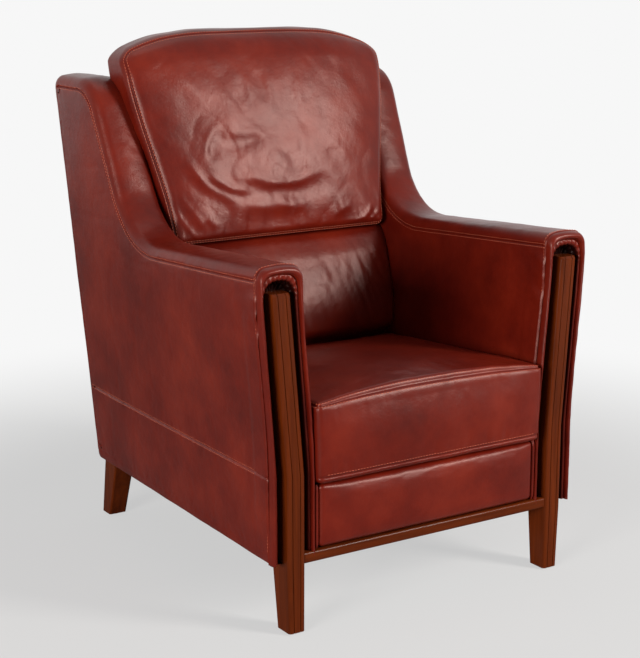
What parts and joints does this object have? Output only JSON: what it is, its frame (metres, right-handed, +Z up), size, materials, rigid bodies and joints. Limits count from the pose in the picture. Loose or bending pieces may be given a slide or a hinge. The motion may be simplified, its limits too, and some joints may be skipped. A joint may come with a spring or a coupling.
{
  "type": "leather wing armchair",
  "caption": "High-backed leather armchair with small wings, a loose boxed seat cushion, a soft headrest and show-wood stiles set into the arm fronts.",
  "frame": {"origin": "on the floor, under the middle of the chair's bounding box", "axes": "+Z up, +X to the right seen from the front, +Y to the back; the sitter faces -Y"},
  "size_m": [0.7172, 0.8323, 1.0217],
  "materials": {
    "show_wood": "satin walnut stain",
    "frame_wood": "sawn beech",
    "hide": "glossy red-brown leather",
    "foam": "upholstery foam",
    "lining": "black lining cloth",
    "steel": "spring steel",
    "glide": "moulded glide"
  },
  "bodies": {
    "chair": {"front_stile_L": "show_wood", "front_stile_R": "show_wood", "front_leg_L": "show_wood", "front_leg_R": "show_wood", "rear_leg_L": "show_wood", "rear_leg_R": "show_wood", "front_rail": "show_wood", "leg_dowels": "frame_wood", "foot_glides": "glide", "frame_bolts": "steel", "frame_screws": "steel", "base_rail_L": "frame_wood", "base_rail_R": "frame_wood", "front_post_L": "frame_wood", "front_post_R": "frame_wood", "arm_rail_L": "frame_wood", "arm_rail_R": "frame_wood", "wing_rail_L": "frame_wood", "wing_rail_R": "frame_wood", "rear_post_L": "frame_wood", "rear_post_R": "frame_wood", "side_padding_L": "foam", "side_padding_R": "foam", "side_panel_upper_L": "hide", "side_panel_upper_R": "hide", "side_panel_lower_L": "hide", "side_panel_lower_R": "hide", "inner_side_leather_L": "hide", "inner_side_leather_R": "hide", "arm_wing_band_L": "hide", "arm_wing_band_R": "hide", "arm_facing_L": "hide", "arm_facing_R": "hide", "seat_rail_front": "frame_wood", "seat_rail_rear": "frame_wood", "seat_side_rails": "frame_wood", "corner_blocks": "frame_wood", "seat_springs": "steel", "back_springs": "steel", "spring_clips": "steel", "seat_deck_pad": "foam", "dust_cover": "lining", "front_panel_leather": "hide", "front_panel_padding": "foam", "crest_rail": "frame_wood", "back_top_board": "frame_wood", "back_top_pad": "foam", "back_top_band": "hide", "back_board": "frame_wood", "back_bottom_rail": "frame_wood", "back_panel_upper": "hide", "back_panel_lower": "hide", "back_support_pad": "lining", "headrest_cover": "hide", "headrest_foam": "foam", "lumbar_cover": "hide", "lumbar_foam": "foam"},
    "seat_cushion": {"seat_cushion_cover": "hide", "seat_cushion_foam": "foam"}
  },
  "joints": [
    {"name": "seat_cushion_lift", "type": "slide", "parent": "chair", "child": "seat_cushion", "axis": [0, -0.5, 0.866], "range_m": [0, 0.25]}
  ]
}
